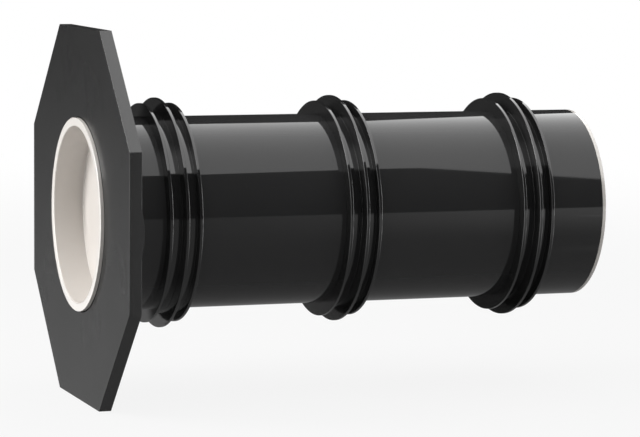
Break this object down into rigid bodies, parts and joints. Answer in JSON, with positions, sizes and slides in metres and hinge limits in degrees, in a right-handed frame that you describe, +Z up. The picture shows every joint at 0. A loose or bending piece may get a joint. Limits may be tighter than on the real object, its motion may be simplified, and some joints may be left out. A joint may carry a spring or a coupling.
{
  "type": "puddle flange pipe",
  "caption": "Wall sleeve for casting into concrete: a plain pipe with an octagonal formwork plate, water stops with three webs each, and a push-in cap in each end.",
  "frame": {"origin": "on the pipe's axis, in the plane of the formwork plate's outer face", "axes": "+X along the pipe, away from the plate's outer face; +Z up, square to one of the octagon's flats"},
  "size_m": [0.3042, 0.212, 0.212],
  "materials": {
    "pipe_black": "smooth extruded black plastic, glossy",
    "plate_grey": "moulded dark grey plastic, satin",
    "stop_black": "moulded black plastic, glossy",
    "cap_cream": "moulded cream plastic, glossy"
  },
  "bodies": {
    "root": {"pipe_body": "pipe_black", "formwork_plate": "plate_grey", "water_stop_front": "stop_black", "water_stop_middle": "stop_black", "water_stop_rear": "stop_black", "end_cap_front": "cap_cream", "end_cap_rear": "cap_cream"}
  },
  "joints": []
}
